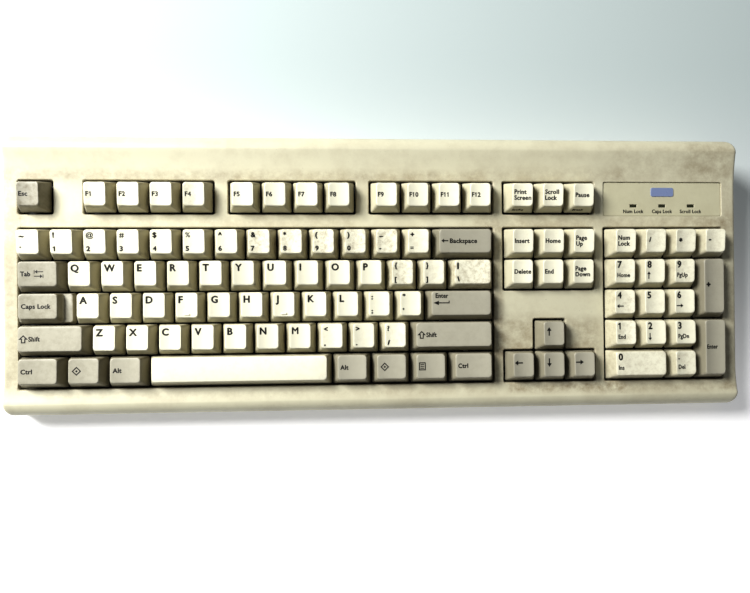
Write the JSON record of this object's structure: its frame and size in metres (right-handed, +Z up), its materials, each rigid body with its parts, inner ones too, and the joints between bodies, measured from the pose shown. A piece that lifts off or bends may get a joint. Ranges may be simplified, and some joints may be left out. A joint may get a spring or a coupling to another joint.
{
  "type": "mechanical keyboard",
  "caption": "Full-size wired mechanical keyboard with a number pad, sculpted two-tone keycaps in separate wells, status lights and fold-out rear feet.",
  "frame": {"origin": "centre of the footprint, on the plane of the rubber feet", "axes": "+X to the right along the rows of keys, +Y to the rear, +Z up"},
  "size_m": [0.4534, 0.168, 0.0442],
  "materials": {
    "case_plastic": "lightly yellowed textured plastic",
    "base_plastic": "lightly yellowed textured plastic",
    "panel_plastic": "smooth satin plastic",
    "badge_blue": "blank printed badge",
    "window_dark": "tinted lens",
    "led_green": "clear tinted",
    "plate_steel": "painted sheet steel",
    "switch_black": "moulded",
    "switch_grey": "moulded",
    "spring_steel": "drawn wire",
    "contact_brass": "stamped strip",
    "clip_plastic": "moulded",
    "board_green": "solder mask",
    "chip_black": "moulded",
    "gland_rubber": "soft",
    "foot_rubber": "soft",
    "screw_steel": "zinc plated",
    "legend_ink": "pad-printed ink",
    "key_cream": "satin keycap plastic",
    "key_grey": "satin keycap plastic"
  },
  "bodies": {
    "case": {"top_case": "case_plastic", "bottom_case": "base_plastic", "indicator_panel": "panel_plastic", "badge": "badge_blue", "led_windows": "window_dark", "leds": "led_green", "mounting_plate": "plate_steel", "switch_bases": "switch_black", "switch_covers": "switch_grey", "switch_springs": "spring_steel", "switch_contacts": "contact_brass", "stabiliser_clips": "clip_plastic", "circuit_board": "board_green", "board_parts": "chip_black", "cable_gland": "gland_rubber", "rubber_feet": "foot_rubber", "screws": "screw_steel"},
    "left_tilt_foot": {"left_tilt_foot": "base_plastic"},
    "right_tilt_foot": {"right_tilt_foot": "base_plastic"},
    "esc_key": {"esc_key": "key_grey"},
    "f1_f4_keys": {"f1_f4_keys": "key_cream"},
    "f5_f8_keys": {"f5_f8_keys": "key_cream"},
    "f9_f12_keys": {"f9_f12_keys": "key_cream"},
    "system_keys": {"system_keys": "key_cream"},
    "number_row_keys": {"number_row_keys": "key_cream"},
    "backspace_key": {"backspace_key": "key_grey"},
    "tab_key": {"tab_key": "key_grey"},
    "upper_letter_keys": {"upper_letter_keys": "key_cream"},
    "caps_lock_key": {"caps_lock_key": "key_grey"},
    "home_letter_keys": {"home_letter_keys": "key_cream"},
    "enter_key": {"enter_key": "key_grey"},
    "left_shift_key": {"left_shift_key": "key_grey"},
    "lower_letter_keys": {"lower_letter_keys": "key_cream"},
    "right_shift_key": {"right_shift_key": "key_grey"},
    "left_ctrl_key": {"left_ctrl_key": "key_grey"},
    "left_super_key": {"left_super_key": "key_grey"},
    "left_alt_key": {"left_alt_key": "key_grey"},
    "space_bar": {"space_bar": "key_cream"},
    "right_alt_key": {"right_alt_key": "key_grey"},
    "right_super_key": {"right_super_key": "key_grey"},
    "menu_key": {"menu_key": "key_grey"},
    "right_ctrl_key": {"right_ctrl_key": "key_grey"},
    "navigation_keys": {"navigation_keys": "key_cream"},
    "up_arrow_key": {"up_arrow_key": "key_grey"},
    "left_arrow_key": {"left_arrow_key": "key_grey"},
    "down_arrow_key": {"down_arrow_key": "key_grey"},
    "right_arrow_key": {"right_arrow_key": "key_grey"},
    "pad_operator_keys": {"pad_operator_keys": "key_cream"},
    "pad_digit_keys": {"pad_digit_keys": "key_cream"},
    "pad_zero_key": {"pad_zero_key": "key_cream"},
    "pad_plus_key": {"pad_plus_key": "key_grey"},
    "pad_enter_key": {"pad_enter_key": "key_grey"},
    "backspace_key_wire": {"backspace_key_wire": "spring_steel"},
    "enter_key_wire": {"enter_key_wire": "spring_steel"},
    "left_shift_key_wire": {"left_shift_key_wire": "spring_steel"},
    "right_shift_key_wire": {"right_shift_key_wire": "spring_steel"},
    "space_bar_wire": {"space_bar_wire": "spring_steel"},
    "pad_zero_key_wire": {"pad_zero_key_wire": "spring_steel"},
    "pad_plus_key_wire": {"pad_plus_key_wire": "spring_steel"},
    "pad_enter_key_wire": {"pad_enter_key_wire": "spring_steel"}
  },
  "joints": [
    {"name": "left_tilt_foot_fold", "type": "hinge", "parent": "case", "child": "left_tilt_foot", "pos_m": [-0.18, 0.07201, 0.0048], "axis": [1, 0, 0], "range_deg": [0, 95]},
    {"name": "right_tilt_foot_fold", "type": "hinge", "parent": "case", "child": "right_tilt_foot", "pos_m": [0.18, 0.07201, 0.0048], "axis": [1, 0, 0], "range_deg": [0, 95]},
    {"name": "esc_key_press", "type": "slide", "parent": "case", "child": "esc_key", "axis": [0, 0.1045, -0.9945], "range_m": [0, 0.004], "stiffness_N_per_m": 75, "springref_m": -0.004, "deforming": ["switch_springs"]},
    {"name": "f1_f4_keys_press", "type": "slide", "parent": "case", "child": "f1_f4_keys", "axis": [0, 0.1045, -0.9945], "range_m": [0, 0.004], "stiffness_N_per_m": 300, "springref_m": -0.004},
    {"name": "f5_f8_keys_press", "type": "slide", "parent": "case", "child": "f5_f8_keys", "axis": [0, 0.1045, -0.9945], "range_m": [0, 0.004], "stiffness_N_per_m": 300, "springref_m": -0.004},
    {"name": "f9_f12_keys_press", "type": "slide", "parent": "case", "child": "f9_f12_keys", "axis": [0, 0.1045, -0.9945], "range_m": [0, 0.004], "stiffness_N_per_m": 300, "springref_m": -0.004},
    {"name": "system_keys_press", "type": "slide", "parent": "case", "child": "system_keys", "axis": [0, 0.1045, -0.9945], "range_m": [0, 0.004], "stiffness_N_per_m": 225, "springref_m": -0.004},
    {"name": "number_row_keys_press", "type": "slide", "parent": "case", "child": "number_row_keys", "axis": [0, 0.1045, -0.9945], "range_m": [0, 0.004], "stiffness_N_per_m": 975, "springref_m": -0.004},
    {"name": "backspace_key_press", "type": "slide", "parent": "case", "child": "backspace_key", "axis": [0, 0.1045, -0.9945], "range_m": [0, 0.004], "stiffness_N_per_m": 75, "springref_m": -0.004},
    {"name": "tab_key_press", "type": "slide", "parent": "case", "child": "tab_key", "axis": [0, 0.1045, -0.9945], "range_m": [0, 0.004], "stiffness_N_per_m": 75, "springref_m": -0.004},
    {"name": "upper_letter_keys_press", "type": "slide", "parent": "case", "child": "upper_letter_keys", "axis": [0, 0.1045, -0.9945], "range_m": [0, 0.004], "stiffness_N_per_m": 975, "springref_m": -0.004},
    {"name": "caps_lock_key_press", "type": "slide", "parent": "case", "child": "caps_lock_key", "axis": [0, 0.1045, -0.9945], "range_m": [0, 0.004], "stiffness_N_per_m": 75, "springref_m": -0.004},
    {"name": "home_letter_keys_press", "type": "slide", "parent": "case", "child": "home_letter_keys", "axis": [0, 0.1045, -0.9945], "range_m": [0, 0.004], "stiffness_N_per_m": 825, "springref_m": -0.004},
    {"name": "enter_key_press", "type": "slide", "parent": "case", "child": "enter_key", "axis": [0, 0.1045, -0.9945], "range_m": [0, 0.004], "stiffness_N_per_m": 75, "springref_m": -0.004},
    {"name": "left_shift_key_press", "type": "slide", "parent": "case", "child": "left_shift_key", "axis": [0, 0.1045, -0.9945], "range_m": [0, 0.004], "stiffness_N_per_m": 75, "springref_m": -0.004},
    {"name": "lower_letter_keys_press", "type": "slide", "parent": "case", "child": "lower_letter_keys", "axis": [0, 0.1045, -0.9945], "range_m": [0, 0.004], "stiffness_N_per_m": 750, "springref_m": -0.004},
    {"name": "right_shift_key_press", "type": "slide", "parent": "case", "child": "right_shift_key", "axis": [0, 0.1045, -0.9945], "range_m": [0, 0.004], "stiffness_N_per_m": 75, "springref_m": -0.004},
    {"name": "left_ctrl_key_press", "type": "slide", "parent": "case", "child": "left_ctrl_key", "axis": [0, 0.1045, -0.9945], "range_m": [0, 0.004], "stiffness_N_per_m": 75, "springref_m": -0.004},
    {"name": "left_super_key_press", "type": "slide", "parent": "case", "child": "left_super_key", "axis": [0, 0.1045, -0.9945], "range_m": [0, 0.004], "stiffness_N_per_m": 75, "springref_m": -0.004},
    {"name": "left_alt_key_press", "type": "slide", "parent": "case", "child": "left_alt_key", "axis": [0, 0.1045, -0.9945], "range_m": [0, 0.004], "stiffness_N_per_m": 75, "springref_m": -0.004},
    {"name": "space_bar_press", "type": "slide", "parent": "case", "child": "space_bar", "axis": [0, 0.1045, -0.9945], "range_m": [0, 0.004], "stiffness_N_per_m": 110, "springref_m": -0.004},
    {"name": "right_alt_key_press", "type": "slide", "parent": "case", "child": "right_alt_key", "axis": [0, 0.1045, -0.9945], "range_m": [0, 0.004], "stiffness_N_per_m": 75, "springref_m": -0.004},
    {"name": "right_super_key_press", "type": "slide", "parent": "case", "child": "right_super_key", "axis": [0, 0.1045, -0.9945], "range_m": [0, 0.004], "stiffness_N_per_m": 75, "springref_m": -0.004},
    {"name": "menu_key_press", "type": "slide", "parent": "case", "child": "menu_key", "axis": [0, 0.1045, -0.9945], "range_m": [0, 0.004], "stiffness_N_per_m": 75, "springref_m": -0.004},
    {"name": "right_ctrl_key_press", "type": "slide", "parent": "case", "child": "right_ctrl_key", "axis": [0, 0.1045, -0.9945], "range_m": [0, 0.004], "stiffness_N_per_m": 75, "springref_m": -0.004},
    {"name": "navigation_keys_press", "type": "slide", "parent": "case", "child": "navigation_keys", "axis": [0, 0.1045, -0.9945], "range_m": [0, 0.004], "stiffness_N_per_m": 450, "springref_m": -0.004},
    {"name": "up_arrow_key_press", "type": "slide", "parent": "case", "child": "up_arrow_key", "axis": [0, 0.1045, -0.9945], "range_m": [0, 0.004], "stiffness_N_per_m": 75, "springref_m": -0.004},
    {"name": "left_arrow_key_press", "type": "slide", "parent": "case", "child": "left_arrow_key", "axis": [0, 0.1045, -0.9945], "range_m": [0, 0.004], "stiffness_N_per_m": 75, "springref_m": -0.004},
    {"name": "down_arrow_key_press", "type": "slide", "parent": "case", "child": "down_arrow_key", "axis": [0, 0.1045, -0.9945], "range_m": [0, 0.004], "stiffness_N_per_m": 75, "springref_m": -0.004},
    {"name": "right_arrow_key_press", "type": "slide", "parent": "case", "child": "right_arrow_key", "axis": [0, 0.1045, -0.9945], "range_m": [0, 0.004], "stiffness_N_per_m": 75, "springref_m": -0.004},
    {"name": "pad_operator_keys_press", "type": "slide", "parent": "case", "child": "pad_operator_keys", "axis": [0, 0.1045, -0.9945], "range_m": [0, 0.004], "stiffness_N_per_m": 300, "springref_m": -0.004},
    {"name": "pad_digit_keys_press", "type": "slide", "parent": "case", "child": "pad_digit_keys", "axis": [0, 0.1045, -0.9945], "range_m": [0, 0.004], "stiffness_N_per_m": 750, "springref_m": -0.004},
    {"name": "pad_zero_key_press", "type": "slide", "parent": "case", "child": "pad_zero_key", "axis": [0, 0.1045, -0.9945], "range_m": [0, 0.004], "stiffness_N_per_m": 75, "springref_m": -0.004},
    {"name": "pad_plus_key_press", "type": "slide", "parent": "case", "child": "pad_plus_key", "axis": [0, 0.1045, -0.9945], "range_m": [0, 0.004], "stiffness_N_per_m": 75, "springref_m": -0.004},
    {"name": "pad_enter_key_press", "type": "slide", "parent": "case", "child": "pad_enter_key", "axis": [0, 0.1045, -0.9945], "range_m": [0, 0.004], "stiffness_N_per_m": 75, "springref_m": -0.004},
    {"name": "backspace_key_wire_turn", "type": "hinge", "parent": "case", "child": "backspace_key_wire", "pos_m": [0.05001, 0.00985, 0.02293], "axis": [-1, 0, 0], "range_deg": [0, 29.01]},
    {"name": "enter_key_wire_turn", "type": "hinge", "parent": "case", "child": "enter_key_wire", "pos_m": [0.04763, -0.02804, 0.01895], "axis": [-1, 0, 0], "range_deg": [0, 29.01]},
    {"name": "left_shift_key_wire_turn", "type": "hinge", "parent": "case", "child": "left_shift_key_wire", "pos_m": [-0.19526, -0.04698, 0.01696], "axis": [-1, 0, 0], "range_deg": [0, 29.01]},
    {"name": "right_shift_key_wire_turn", "type": "hinge", "parent": "case", "child": "right_shift_key_wire", "pos_m": [0.04286, -0.04698, 0.01696], "axis": [-1, 0, 0], "range_deg": [0, 29.01]},
    {"name": "space_bar_wire_turn", "type": "hinge", "parent": "case", "child": "space_bar_wire", "pos_m": [-0.08572, -0.06593, 0.01496], "axis": [-1, 0, 0], "range_deg": [0, 29.01]},
    {"name": "pad_zero_key_wire_turn", "type": "hinge", "parent": "case", "child": "pad_zero_key_wire", "pos_m": [0.15954, -0.06593, 0.01496], "axis": [-1, 0, 0], "range_deg": [0, 29.01]},
    {"name": "pad_plus_key_wire_turn", "type": "hinge", "parent": "case", "child": "pad_plus_key_wire", "pos_m": [0.21547, -0.01031, 0.02081], "axis": [0, -0.9945, -0.1045], "range_deg": [0, 29.01]},
    {"name": "pad_enter_key_wire_turn", "type": "hinge", "parent": "case", "child": "pad_enter_key_wire", "pos_m": [0.21547, -0.0482, 0.01683], "axis": [0, -0.9945, -0.1045], "range_deg": [0, 29.01]}
  ],
  "couplings": [
    {"joint": "backspace_key_wire_turn", "follows": "backspace_key_press", "rad_per_m": 125.71},
    {"joint": "enter_key_wire_turn", "follows": "enter_key_press", "rad_per_m": 125.71},
    {"joint": "left_shift_key_wire_turn", "follows": "left_shift_key_press", "rad_per_m": 125.71},
    {"joint": "right_shift_key_wire_turn", "follows": "right_shift_key_press", "rad_per_m": 125.71},
    {"joint": "space_bar_wire_turn", "follows": "space_bar_press", "rad_per_m": 125.71},
    {"joint": "pad_zero_key_wire_turn", "follows": "pad_zero_key_press", "rad_per_m": 125.71},
    {"joint": "pad_plus_key_wire_turn", "follows": "pad_plus_key_press", "rad_per_m": 125.71},
    {"joint": "pad_enter_key_wire_turn", "follows": "pad_enter_key_press", "rad_per_m": 125.71}
  ]
}
